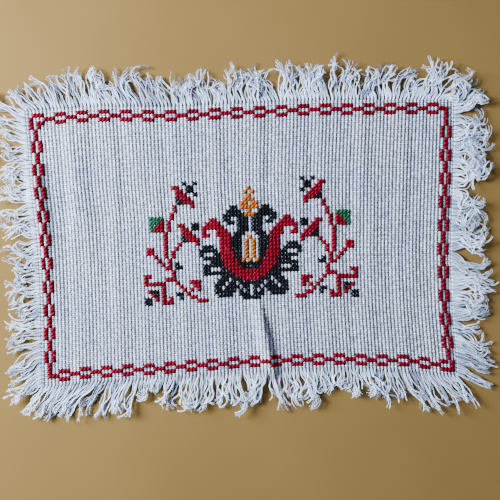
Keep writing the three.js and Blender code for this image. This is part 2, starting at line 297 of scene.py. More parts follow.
# Each fringe: its tufts, the length and blocks of its edge, its yarns for each block, its bunches, the
# steps of a yarn and the seed. Then the way out from each edge.
FRINGES = {
    "top": (TOP_TUFTS, CLOTH_WIDTH, BLOCKS_ACROSS, 3, LONG_SIDE_BUNCH, 26, 11),
    "bottom": (BOTTOM_TUFTS, CLOTH_WIDTH, BLOCKS_ACROSS, 3, LONG_SIDE_BUNCH, 26, 12),
    "left": (LEFT_TUFTS, CLOTH_HEIGHT, BLOCKS_DOWN, 3, SHORT_SIDE_BUNCH, 28, 13),
    "right": (RIGHT_TUFTS, CLOTH_HEIGHT, BLOCKS_DOWN, 4, SHORT_SIDE_BUNCH, 36, 14),
}
OUTWARD = {"top": (0, 1), "bottom": (0, -1), "left": (-1, 0), "right": (1, 0)}

# The floor, and the camera: its height, the width that it sees on the floor, its turn and how far it is off
# the mat's middle
FLOOR_HALF_WIDTH = 3.0
CAMERA_HEIGHT = 480.0
VIEW_WIDTH = 427.3
VIEW_TURN = 0.028
CAMERA_OFFSET = (3.6, -9.2)
SENSOR_WIDTH = 36.0
NEAREST_SEEN = 0.01


def smooth(share):
    """Smooth step 3t^2 - 2t^3 of the share, held between 0 and 1."""
    t = np.clip(share, 0.0, 1.0)
    return t * t * (3.0 - 2.0 * t)


def part_way(first, last, share):
    """A value that is a share of the way from the first to the last."""
    return first + (last - first) * share


def stand_out(edge, at):
    """An edge's stand-out at distances along it: from one row of its table to the next by a smooth step."""
    places, outs = np.array(edge, float).T
    low = np.clip(np.searchsorted(places, at, side="left") - 1, 0, len(places) - 2)
    share = (at - places[low]) / (places[low + 1] - places[low])
    return part_way(outs[low], outs[low + 1], smooth(share))


def side_stand_out(edge, down):
    """The same for a side edge, which runs straight between its rows."""
    rows = np.array(SIDE_ROWS, float)
    return np.interp(down, rows, stand_out(edge, rows))


def drift(across, down):
    """How far the blocks near the upper edge are drawn to the right."""
    return stand_out(TOP_DRIFT, across) * (1 - smooth(down / DRIFT_DEPTH))


def place(across, down):
    """A point of the cloth: it divides the line between the two side edges, and between the upper and lower
    edge, in the shares across / width and down / height, and then drifts."""
    left = -CLOTH_WIDTH / 2 - side_stand_out(LEFT_EDGE, down)
    right = CLOTH_WIDTH / 2 + side_stand_out(RIGHT_EDGE, down)
    top = CLOTH_HEIGHT / 2 + stand_out(TOP_EDGE, across)
    bottom = -CLOTH_HEIGHT / 2 - stand_out(BOTTOM_EDGE, across)
    x = part_way(left, right, across / CLOTH_WIDTH) + drift(across, down)
    return x, part_way(top, bottom, down / CLOTH_HEIGHT)


def hump(offset, left, right):
    """A round-topped hump: squared cosine of a quarter turn from its crest to either foot."""
    share = np.clip(offset / np.where(offset < 0, left, right), -1.0, 1.0)
    return np.cos(share * math.pi / 2) ** 2


def ridge(shape, across, down):
    """An upright ridge: a hump across, which rises from its upper end and falls to its lower end."""
    rise = smooth((down - shape["top"]) / shape["rise"])
    fall = smooth((shape["bottom"] - down) / shape["fall"])
    return shape["height"] * rise * fall * hump(across - shape["crest"], shape["left"], shape["right"])


def lift(across, down):
    """How far the cloth is off the floor: the crease's hump, rising to the lower edge, plus the swell, the
    rolled edge and the ripples, each a sine across whose phase sways with a sine down the cloth."""
    share = np.clip((down - CREASE["top"]) / (CLOTH_HEIGHT - CREASE["top"]), 0, 1)
    crest = part_way(CREASE["crest_at_top"], CREASE["crest_at_edge"], share)
    right = part_way(CREASE["right_at_top"], CREASE["right_at_edge"], share)
    crease_height = CREASE["height"] * smooth((down - CREASE["top"]) / CREASE["rise"])
    raised = crease_height * hump(across - crest, CREASE["left"], right)
    raised = raised + ridge(SWELL, across, down) + ridge(ROLL, across, down)
    for wavelength, height, phase, sway, sway_length in RIPPLES:
        swayed = phase + sway * np.sin(FULL_TURN * down / sway_length + phase)
        raised = raised + height * (1 + np.sin(FULL_TURN * across / wavelength + swayed))
    return raised


def frame_shift():
    """What moves the cloth to its place in the frame: the middle of the cloth node's box less the middle of
    the panel's outline."""
    across = np.linspace(PANEL_INSET, CLOTH_WIDTH - PANEL_INSET, OUTLINE_STEPS)
    down = np.array(SIDE_ROWS[1:-1], float)
    x, y = place(across[None, :], down[:, None])
    x = x - drift(across[None, :], down[:, None])
    low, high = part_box("cloth")
    middle = (np.array(low) + np.array(high))[:2] / 2 / MM
    return middle - np.array([x.min() + x.max(), y.min() + y.max()]) / 2


SHIFT = frame_shift()


def weave_height(column, row):
    """The upper face above the underside, in blocks across and down: ribs are raised cosines across, they
    dip between blocks by a cosine along, and the corners of the blocks are deeper still."""
    wavy = column + VALLEY_WAVE * np.sin(FULL_TURN * row)
    rib = (0.5 - 0.5 * np.cos(FULL_TURN * wavy)) ** RIB_ROUNDNESS
    between = 0.5 + 0.5 * np.cos(FULL_TURN * row)
    corner = (1 - rib) * between
    return VALLEY_THICKNESS + RIB_HEIGHT * rib - BLOCK_DIP * rib * between - CORNER_DIP * corner


def make_piece(name, points, quads, triangles, uv, tone_and_shade=None):
    """A mesh object in the frame's metres, from points in millimetres, its faces, and a UV pair for each
    point, and if given a brightness for each point, which holds random parts and painted shade."""
    placed = np.array(points, float)
    placed[:, :2] += SHIFT
    mesh = bpy.data.meshes.new(name)
    faces = (quads, triangles)
    loops = np.concatenate([face.ravel() for face in faces])
    sizes = np.concatenate([np.full(len(face), face.shape[1]) for face in faces])
    starts = np.concatenate([[0], np.cumsum(sizes)[:-1]])
    mesh.vertices.add(len(placed))
    mesh.vertices.foreach_set("co", (placed * MM).astype(np.float32).ravel())
    mesh.loops.add(len(loops))
    mesh.loops.foreach_set("vertex_index", loops.astype(np.int32))
    mesh.polygons.add(len(sizes))
    mesh.polygons.foreach_set("loop_start", starts.astype(np.int32))
    layer = mesh.uv_layers.new(name="UVMap")
    layer.data.foreach_set("uv", uv[loops].astype(np.float32).ravel())
    if tone_and_shade is not None:
        attribute = mesh.attributes.new("tone_and_shade", "FLOAT", "POINT")
        attribute.data.foreach_set("value", tone_and_shade.astype(np.float32))
    mesh.update(calc_edges=True)
    mesh.polygons.foreach_set("use_smooth", np.full(len(sizes), True))
    mesh.validate()
    piece = bpy.data.objects.new(name, mesh)
    bpy.context.scene.collection.objects.link(piece)
    return piece


def grid_quads(index):
    """Quads of a grid of vertex numbers, wound so that a grid whose rows run down faces up."""
    return np.stack([index[:-1, :-1], index[1:, :-1], index[1:, 1:], index[:-1, 1:]], -1).reshape(-1, 4)


def zip_wall(fine, coarse, turned):
    """Triangles between a fine row of vertices and a coarse one below it, whose ends are the same."""
    step = (len(fine) - 1) // (len(coarse) - 1)
    number = np.arange(len(fine) - 1)
    nearest = (number + step // 2) // step
    upper = np.stack([fine[:-1], fine[1:], coarse[nearest]], -1)
    low = np.arange(len(coarse) - 1)
    lower = np.stack([coarse[low + 1], coarse[low], fine[low * step + (step + 1) // 2]], -1)
    wall = np.concatenate([upper, lower])
    return wall[:, ::-1] if turned else wall


def on_cloth(columns, rows):
    """Blocks across and down as millimetres across and down."""
    return columns * CLOTH_WIDTH / BLOCKS_ACROSS, rows * CLOTH_HEIGHT / BLOCKS_DOWN


def make_cloth():
    """The sheet: a fine upper grid lifted by the weave, a coarse underside, and walls zipped between."""
    column = np.linspace(0, BLOCKS_ACROSS, BLOCKS_ACROSS * COLUMNS_PER_BLOCK + 1)
    row = np.linspace(0, BLOCKS_DOWN, BLOCKS_DOWN * ROWS_PER_BLOCK + 1)
    columns, rows = np.meshgrid(column, row)
    across, down = on_cloth(columns, rows)
    x, y = place(across, down)
    raised = lift(across, down)
    upper = np.stack([x, y, raised + weave_height(columns, rows)], -1)
    under = np.stack([x, y, raised], -1)[::ROWS_PER_BLOCK, ::COLUMNS_PER_BLOCK]
    uv = np.stack([columns / BLOCKS_ACROSS, 1 - rows / BLOCKS_DOWN], -1)
    under_uv = uv[::ROWS_PER_BLOCK, ::COLUMNS_PER_BLOCK]
    upper_index = np.arange(upper[..., 0].size).reshape(upper.shape[:2])
    under_index = upper_index.size + np.arange(under[..., 0].size).reshape(under.shape[:2])
    quads = np.concatenate([grid_quads(upper_index), grid_quads(under_index)[:, ::-1]])
    walls = np.concatenate([
        zip_wall(upper_index[0], under_index[0], False),
        zip_wall(upper_index[-1], under_index[-1], True),
        zip_wall(upper_index[:, 0], under_index[:, 0], True),
        zip_wall(upper_index[:, -1], under_index[:, -1], False),
    ])
    points = np.concatenate([upper.reshape(-1, 3), under.reshape(-1, 3)])
    all_uv = np.concatenate([uv.reshape(-1, 2), under_uv.reshape(-1, 2)])
    return make_piece("cloth_sheet", points, quads, walls, all_uv)


def runs(*rows):
    """Blocks of a chart written as (row, first column, last column)."""
    return [(column, row) for row, first, last in rows for column in range(first, last + 1)]


def slant(row, column, count, step=0):
    """One block in each of some rows, each a step to the side of the last."""
    return [(column + step * number, row + number) for number in range(count)]


def mirrored(blocks):
    """A half chart and its mirror image about column 0, each block once."""
    return sorted(set(blocks) | {(-column, row) for column, row in blocks})


def moved(blocks, across, down):
    """A chart moved by whole blocks."""
    return [(column + across, row + down) for column, row in blocks]


def border_blocks():
    """The chain border: links of two bars of three blocks beside the middle line, joined by three on it."""
    left, right, top, bottom = BORDER_LEFT, BORDER_RIGHT, BORDER_TOP, BORDER_BOTTOM
    blocks = []
    for link in range(LINKS_LONG):
        upper = FIRST_UPPER_LINK + LINK_PITCH * link
        lower = FIRST_LOWER_LINK + LINK_PITCH * link
        blocks += runs((top - 1, upper, upper + 2), (top + 1, upper, upper + 2))
        blocks += runs((bottom - 1, lower, lower + 2), (bottom + 1, lower, lower + 2))
        blocks += runs((top, upper - 3, upper - 1), (bottom, lower + 3, lower + 5))
    blocks += runs((top, right - 2, right), (bottom, left, left + 2))
    for link in range(1, LINKS_SHORT + 1):
        first = top + LINK_PITCH * link
        blocks += slant(first, left - 1, 3) + slant(first, left + 1, 3) + slant(first - 3, left, 3)
        blocks += slant(first - 1, right - 1, 3) + slant(first - 1, right + 1, 3)
        blocks += slant(first + 2, right, 3)
    blocks += slant(bottom - 3, left, 4) + slant(top, right, 5)
    # The link bent round the upper left corner, and the one at the lower right
    blocks += runs((top - 1, left, left + 2), (top + 1, left + 1, left + 2), (top + 2, left + 1, left + 1))
    blocks += slant(top, left - 1, 3)
    blocks += runs((bottom + 1, right - 2, right + 1), (bottom - 1, right - 2, right - 1))
    blocks += slant(bottom - 1, right + 1, 3)
    return sorted(set(blocks))


# One slanting bud: a red band that steps down to the right, on a small black base
BUD_RED = runs((0, 0, 1), (1, 1, 2), (2, 1, 3), (3, 2, 4), (4, 3, 5), (5, 5, 5))
BUD_BLACK = runs((3, 1, 1), (4, 1, 2))


def motif_charts():
    """The folk flower and its two side sprays, as blocks of each thread counted from the motif's middle."""
    finial = mirrored(runs((0, 0, 0), (1, 1, 1), (2, 0, 0), (3, 0, 1), (4, 1, 2), (5, 0, 2), (6, 0, 0),
                           (7, 0, 1)))
    stamens = mirrored(runs((13, 0, 0), (19, 0, 0), (19, 2, 2)) + slant(14, 1, 5))
    inner_petals = runs((5, 4, 5), (6, 3, 6), (7, 2, 7), (8, 1, 3), (8, 6, 7), (9, 1, 3), (9, 5, 6),
                        (10, 1, 3), (11, 1, 3), (12, 2, 4), (13, 3, 5), (14, 3, 5), (15, 3, 5), (16, 3, 5),
                        (17, 3, 4), (18, 3, 4), (19, 3, 3), (20, 0, 3), (21, 0, 2))
    outer_petals = runs((8, 10, 11), (9, 9, 12), (10, 8, 13), (11, 7, 9), (11, 13, 13), (12, 6, 9),
                        (12, 12, 13), (13, 6, 8), (14, 6, 8), (15, 6, 8), (16, 6, 8), (17, 5, 8),
                        (18, 5, 8), (19, 4, 7), (20, 4, 7), (21, 3, 6), (22, 0, 5), (23, 0, 4), (24, 0, 2))
    leaves = runs((15, 11, 13), (16, 10, 14), (17, 9, 10), (17, 14, 14), (18, 9, 13), (19, 8, 11),
                  (20, 8, 13), (21, 7, 8), (21, 12, 13), (22, 6, 13), (23, 5, 8), (24, 3, 5), (24, 7, 9),
                  (25, 0, 3), (25, 5, 6), (25, 8, 10), (26, 1, 2), (26, 4, 7), (26, 9, 10), (27, 1, 1),
                  (27, 3, 3), (27, 5, 10), (28, 1, 3), (28, 6, 9), (29, 0, 2))
    upper_bud = (-21, -1)
    lower_bud = (-20, 9)
    spray_red = moved(BUD_RED, *upper_bud) + moved(BUD_RED, *lower_bud)
    spray_red += slant(4, -21, 2) + slant(6, -22, 2) + slant(8, -23, 3) + slant(11, -24, 7)
    spray_red += slant(14, -20, 3, -1) + slant(17, -22, 1) + slant(18, -23, 2) + slant(21, -22, 2)
    spray_red += runs((20, -24, -23), (23, -24, -22), (8, -25, -25), (9, -26, -25), (10, -27, -25))
    spray_red += runs((15, -29, -28), (16, -29, -28)) + slant(17, -27, 3, 1)
    spray_red += runs((22, -30, -29), (23, -30, -30), (24, -30, -25), (28, -23, -23), (29, -25, -23))
    spray_red += slant(25, -25, 4) + slant(26, -29, 3, 1) + slant(24, -21, 4, 1)
    spray_red += runs((28, -17, -16), (29, -15, -13), (24, -17, -15), (25, -16, -15))
    spray_red += runs((26, -17, -17), (26, -15, -15))
    spray_black = moved(BUD_BLACK, *upper_bud) + moved(BUD_BLACK, *lower_bud)
    spray_black += runs((-2, -18, -18), (-2, -15, -15), (-1, -17, -16), (0, -17, -16), (1, -15, -15))
    spray_black += runs((9, -16, -15), (10, -16, -15), (19, -21, -21), (20, -21, -20), (27, -21, -20),
                        (28, -20, -20), (26, -28, -27), (27, -27, -27), (28, -30, -29), (29, -30, -29))
    spray_green = runs((7, -28, -25), (8, -28, -26), (9, -28, -27), (10, -28, -28))
    return {
        "gold": finial + stamens,
        "black": mirrored(inner_petals + leaves + spray_black),
        "red": mirrored(outer_petals + spray_red),
        "green": mirrored(spray_green),
    }


def rings(path, side, up, half_width, half_height, sides):
    """Points round paths: the path plus side times a cosine and up times a sine, an ellipse each."""
    angle = (FULL_TURN * np.arange(sides) / sides)[None, None, :, None]
    to_side = side[:, :, None] * (np.cos(angle) * half_width[..., None, None])
    to_top = up[:, :, None] * (np.sin(angle) * half_height[..., None, None])
    return (path[:, :, None] + to_side + to_top).reshape(-1, 3)


def tubes(path, side, up, half_width, half_height, sides):
    """Closed tubes along many paths at once: path, side and up are arrays of (tube, step, 3). Returns the
    points of the rings, the quads between them and the triangles of the ends."""
    count, steps = path.shape[:2]
    index = np.arange(count * steps * sides).reshape(count, steps, sides)
    around = np.roll(index, -1, axis=2)
    quads = np.stack([index[:, :-1], around[:, :-1], around[:, 1:], index[:, 1:]], -1).reshape(-1, 4)
    fan = np.arange(1, sides - 1)
    ends = []
    for step, first, second in ((0, fan + 1, fan), (-1, fan, fan + 1)):
        middle = np.broadcast_to(index[:, step, :1], (count, len(fan)))
        ends.append(np.stack([middle, index[:, step, first], index[:, step, second]], -1).reshape(-1, 3))
    return rings(path, side, up, half_width, half_height, sides), quads, np.concatenate(ends)


def tube_uv(share, sides, count):
    """The UV pairs of tubes: the share of the way round, and the share of the way along."""
    u = np.tile(np.arange(sides) / sides, len(share) * count)
    v = np.tile(np.repeat(share, sides), count)
    return np.stack([u, v], -1)


def unit(vectors):
    """Vectors divided by their lengths."""
    return vectors / np.maximum(np.linalg.norm(vectors, axis=-1, keepdims=True), TINY)


def tube_frames(path):
    """Side and up vectors along paths: side is level and square to the path, up is square to both."""
    along = unit(np.gradient(path, axis=1))
    side = unit(np.cross(along, np.array([0.0, 0.0, 1.0])))
    return side, np.cross(side, along)


def stitch_arms(block, share, rising, rise, random):
    """The paths of one arm of each cross, which runs from corner to corner. Its height is a half sine over
    its length, added to the weave between its two corner holes."""
    count = len(block)
    jitter = random.normal(0, ARM_PLACES, (count, 2, 2))
    near, far = -ARM_OVERREACH, 1 + ARM_OVERREACH
    start = block + np.array([near, far if rising else near]) + jitter[:, 0]
    end = block + np.array([far, near if rising else far]) + jitter[:, 1]
    flat = part_way(start[:, None], end[:, None], share[None, :, None])
    across, down = on_cloth(flat[..., 0], flat[..., 1])
    x, y = place(across, down)
    arch = np.sin(math.pi * share) ** ARM_ARCH
    base = VALLEY_THICKNESS - ARM_SINK + (RIB_HEIGHT + ARM_SINK + rise) * arch
    z = lift(across, down) + base + random.normal(0, ARM_LEVELS, (count, 1))
    return np.stack([x, y, z], -1)


def make_stitches(name, blocks, arm_width, seed):
    """Cross-stitches: in each block two arched tubes, one over the other, thickest in their middle."""
    random = np.random.default_rng(seed)
    block = np.array(blocks, float)
    count = len(block)
    share = np.linspace(0, 1, ARM_STEPS)
    lower_arms = stitch_arms(block, share, False, LOWER_ARM_RISE, random)
    upper_arms = stitch_arms(block, share, True, UPPER_ARM_RISE, random)
    path = np.concatenate([lower_arms, upper_arms])
    side, up = tube_frames(path)
    plump = np.sin(math.pi * part_way(ARM_END, 1 - ARM_END, share))[None, :]
    plump = plump * random.normal(1, ARM_THICKNESSES, (2 * count, 1))
    points, quads, ends = tubes(path, side, up, arm_width / 2 * plump, ARM_HEIGHT / 2 * plump, ARM_SIDES)
    tone_and_shade = random.uniform(0, ARM_TONES, 2 * count)
    # Painted shade on each lower arm, which lies under its upper arm
    tone_and_shade[:count] += LOWER_ARM_PAINTED_SHADE
    tone_and_shade = np.repeat(tone_and_shade, ARM_STEPS * ARM_SIDES)
    return make_piece(name, points, quads, ends, tube_uv(share, ARM_SIDES, 2 * count), tone_and_shade)


def edge_line(side, along):
    """Points of one edge as millimetres across and down the cloth."""
    none = np.zeros_like(along)
    return {"top": (along, none), "bottom": (along, none + CLOTH_HEIGHT),
            "left": (none, along), "right": (none + CLOTH_WIDTH, along)}[side]


def edge_place(side, along, out):
    """A point by its distance along one edge and out from it: the edge's own point, moved straight out."""
    x, y = place(*edge_line(side, along))
    if side == "top":
        x = x - drift(along, 0.0) * smooth(out / DRIFT_OUTSIDE)
    across, up = OUTWARD[side]
    return x + across * out, y + up * out


def draw_lock_edges(blocks, random):
    """Random places where one lock ends and the next begins, one to three blocks apart."""
    edges = np.cumsum(random.choice(BLOCKS_IN_LOCK, blocks))
    return np.concatenate([[0], edges[edges < blocks], [blocks]])


def running_sum(steps):
    """Sums along rows of steps, from nothing at the start."""
    return np.pad(np.cumsum(steps, axis=1), ((0, 0), (1, 0)))


def turn_steps(along, out, turn):
    """Paths whose every step is turned by an angle and summed again from the same start."""
    step_along = np.diff(along, axis=1)
    step_out = np.diff(out, axis=1)
    cosine, sine = np.cos(turn[:, 1:]), np.sin(turn[:, 1:])
    return (along[:, :1] + running_sum(step_along * cosine - step_out * sine),
            out[:, :1] + running_sum(step_along * sine + step_out * cosine))


def amount(parts, curl, loose):
    """How much a lock or yarn does of something: a plain part, one by its curl and one by its looseness."""
    plain, by_curl, by_looseness = parts
    return plain + by_curl * curl + by_looseness * loose


def wave(parts, curl, loose, rate, share, phase):
    """A sine along each length, of its own amount, which is full by a first share of the length."""
    *amounts, full_by = parts
    return amount(amounts, curl, loose) * np.sin(FULL_TURN * rate * share + phase) * smooth(share / full_by)


def growth(share, start):
    """Nothing up to a share of the length, then a smooth rise to one at the tip."""
    return smooth((share - start) / (1 - start))


def bend(parts, curl, loose, share, start, random):
    """A growth towards the tip, times its own amount and a random number for each length."""
    return random.normal(0, 1, curl.shape) * amount(parts, curl, loose) * growth(share, start)


def lock_paths(table, length, edges, random):
    """Middle lines of the locks, along the edge and out from it. A lock is drawn to the middle of its tuft
    and leans with it. Its steps are then turned by two waves and by a hook that grows towards the tip, more
    so where the tuft is curly, and summed again."""
    places, *others = np.array(table, float).T
    between = (places[1:] + places[:-1]) / 2
    starts = np.concatenate([[0.0], between])
    ends = np.concatenate([between, [length]])
    root = (edges[1:] + edges[:-1]) / 2
    tuft = np.clip(np.searchsorted(ends, root), 0, len(places) - 1)
    at, start, end, lean, reach, curl, loose = (
        values[tuft][:, None] for values in (places, starts, ends, *others))
    offset = root[:, None] - at
    half = np.where(offset < 0, at - start, end - at)
    gathered = np.minimum(MOST_GATHERED, GATHERED_SHARE * np.hypot(1, lean / reach))
    count = len(root)
    far = reach * (1 - SHORTER_AT_TUFT_SIDE * (offset / half) ** 2)
    far = far * random.uniform(*LOCK_REACHES, (count, 1)) * (1 + CURL_LENGTHENS * curl)

    share = np.linspace(0, 1, LOCK_STEPS)[None, :]
    out = far * share
    out_share = out / reach
    spread = 1 - (1 - gathered) * smooth(out_share / GATHERED_BY)
    along = at + offset * spread + lean * out_share ** LEAN_CURVE

    phase = random.uniform(0, FULL_TURN, (2, count, 1))
    rate = random.uniform(*SLOW_RATES, (count, 1))
    turn = wave(SLOW_WAVE, curl, loose, rate, share, phase[0])
    turn += wave(QUICK_WAVE, curl, loose, QUICK_RATE, share, phase[1])
    hook_start = random.uniform(*HOOK_STARTS, (count, 1))
    turn += bend(HOOK, curl, loose, share, hook_start, random)
    along, out = turn_steps(along, out, turn)
    return SimpleNamespace(count=count, root=root, along=along, out=out, curl=curl, loose=loose)


def sample(values, share):
    """Values along rows of equal steps, read at a share of each row's length by straight lines."""
    exact = share * (values.shape[1] - 1)
    low = np.minimum(exact.astype(int), values.shape[1] - 2)
    first = np.take_along_axis(values, low, axis=1)
    second = np.take_along_axis(values, low + 1, axis=1)
    return part_way(first, second, exact - low)


def draw_yarns(edges, locks, blocks, pitch, per_block, steps, random):
    """What each yarn has of its own: its place in its bunch, from -1/2 to 1/2, and on the edge, its lock,
    how far along the lock each step is, and the phases and rate of its waves."""
    count = blocks * per_block
    number = np.arange(count)
    block = number // per_block
    in_bunch = (number % per_block + 0.5) / per_block - 0.5
    root = (block + 0.5 + in_bunch) * pitch
    lock = np.searchsorted(edges, block, side="right") - 1
    share = np.linspace(0, 1, steps)[None, :]
    at = share * np.clip(random.normal(*YARN_REACH, (count, 1)), SHORTEST_YARN, 1.0)
    phase = random.uniform(0, FULL_TURN, (4, count, 1))
    rate = random.uniform(*YARN_RATES, (count, 1))
    return SimpleNamespace(
        count=count, in_bunch=in_bunch, root=root, lock=lock, curl=locks.curl[lock],
        loose=locks.loose[lock], share=share, at=at, closing=smooth(at / LOCK_CLOSED_BY), phase=phase,
        rate=rate)


def yarn_lines(yarns, locks, pitch, bunch, random):
    """The yarns along the edge and out from it. A yarn follows its lock at a narrowing distance and strays
    a little by itself. It is aside along the edge at the root, and square to its lock further out."""
    share, lock, curl, loose = yarns.share, yarns.lock, yarns.curl, yarns.loose
    stray = wave(STRAY_WAVE, curl, loose, yarns.rate, share, yarns.phase[3])
    stray += bend(STRAY_BEND, curl, loose, share, STRAY_BEND_START, random)
    along, out = turn_steps(sample(locks.along[lock], yarns.at), sample(locks.out[lock], yarns.at), stray)

    bunch_width, opened_by = bunch
    pinched = (yarns.in_bunch * pitch * (1 - bunch_width))[:, None] * (1 - smooth(yarns.at / opened_by))
    aside = (yarns.root - locks.root[lock])[:, None] * (1 - LOCK_CLOSES * yarns.closing) - pinched
    aside += wave(ASIDE_WAVE, curl, loose, yarns.rate, share, yarns.phase[0])
    aside += bend(ASIDE_BEND, curl, loose, share, ASIDE_BEND_START, random)
    ahead = unit(np.stack([np.gradient(along, axis=1), np.gradient(out, axis=1)], -1))
    turned = smooth(yarns.at / SQUARE_TO_LOCK_BY)
    along = along + aside * (1 - turned + turned * ahead[..., 1])
    out = out - aside * turned * ahead[..., 0] - ROOT_INSIDE * (1 - smooth(share / OUTSIDE_BY))
    return along, out


def resting_heights(yarns, locks, random):
    """Where the yarns rest: the height of the lock's layer in the heap, of the yarn in its lock, of a tip
    that lifts as a power of the share, and of a ripple."""
    share, lock = yarns.share, yarns.lock
    layer = random.uniform(0, 1, (locks.count, 1))[lock] * (HEAP + CURL_HEAPS * yarns.curl)
    in_lock = random.uniform(0, LOCK_DEPTH, (yarns.count, 1)) * yarns.closing
    tip = TIP_LIFT * random.uniform(0, 1, (locks.count, 1))[lock] ** 2 * share ** TIP_LIFT_CURVE
    ripple = TIP_RIPPLE * np.sin(FULL_TURN * yarns.rate * share + yarns.phase[1]) * share
    height = layer * (1 - HEAP_THINS * share) + in_lock + tip + ripple
    return TWIST_RADIUS + PLY_RADIUS + np.maximum(height, 0)


def wind_plies(yarn, yarns, random):
    """The plies: each winds round its yarn as a helix, a turn for each pitch travelled, and parts from it
    towards the tip."""
    side, up = tube_frames(yarn)
    travelled = running_sum(np.linalg.norm(np.diff(yarn, axis=1), axis=-1))
    opening = growth(yarns.share, PLIES_PART_START)
    plies = []
    for ply in range(PLIES):
        angle = FULL_TURN * (travelled / TWIST_PITCH + ply / PLIES) + yarns.phase[2]
        parting = bend(PLIES_PART, yarns.curl, yarns.loose, yarns.share, PLIES_PART_START, random)
        rising = np.abs(random.normal(0, PLIES_RISE, (yarns.count, 1))) * opening
        to_side = TWIST_RADIUS * np.cos(angle) + parting
        to_top = TWIST_RADIUS * np.sin(angle) * (1 - TWIST_FLATTENS * opening) + rising
        plies.append(yarn + side * to_side[..., None] + up * to_top[..., None])
    path = np.concatenate(plies)
    path[..., 2] = np.maximum(path[..., 2], PLY_RADIUS * PLY_PRESSED)
    return path


def make_fringe(side, table, length, blocks, per_block, bunch, steps, seed):
    """The loose yarns of one edge, with each ply a thin tube. A yarn leaves the cloth within its block and
    falls from the edge to where it rests."""
    random = np.random.default_rng(seed)
    pitch = length / blocks
    edges = draw_lock_edges(blocks, random)
    locks = lock_paths(table, length, edges * pitch, random)
    yarns = draw_yarns(edges, locks, blocks, pitch, per_block, steps, random)
    along, out = yarn_lines(yarns, locks, pitch, bunch, random)
    resting = resting_heights(yarns, locks, random)
    root = edge_line(side, np.clip(along[:, :1], 0, length))
    at_root = lift(*root) + VALLEY_THICKNESS + ROOT_RISE
    height = part_way(at_root, resting, smooth(yarns.share / FALLEN_BY))
    path = wind_plies(np.stack([*edge_place(side, along, out), height], -1), yarns, random)
    ply_side, ply_up = tube_frames(path)
    radius = PLY_RADIUS * (1 - PLY_THINS * yarns.share ** 4)
    radius = radius * random.normal(1, PLY_RADII, (PLIES * yarns.count, 1))
    points, quads, ends = tubes(path, ply_side, ply_up, radius, radius, PLY_SIDES)
    # Painted light on yarns high in the heap, and painted shade on low ones and at the sides of each bunch,
    # over each yarn's own random part
    height_share = np.clip((resting.max(axis=1) - HEAP_FOOT) / HEAP_DEPTH, 0, 1)
    tone_and_shade = OWN_TONE * random.uniform(0, 1, yarns.count) + HEIGHT_PAINTED_LIGHT * height_share
    tone_and_shade = tone_and_shade + PLAIN_TONE - BUNCH_SIDE_PAINTED_SHADE * np.abs(yarns.in_bunch)
    tone_and_shade = np.repeat(np.tile(tone_and_shade, PLIES), steps * PLY_SIDES)
    uv = tube_uv(yarns.share[0], PLY_SIDES, PLIES * yarns.count)
    return make_piece("yarns_" + side, points, quads, ends, uv, tone_and_shade)


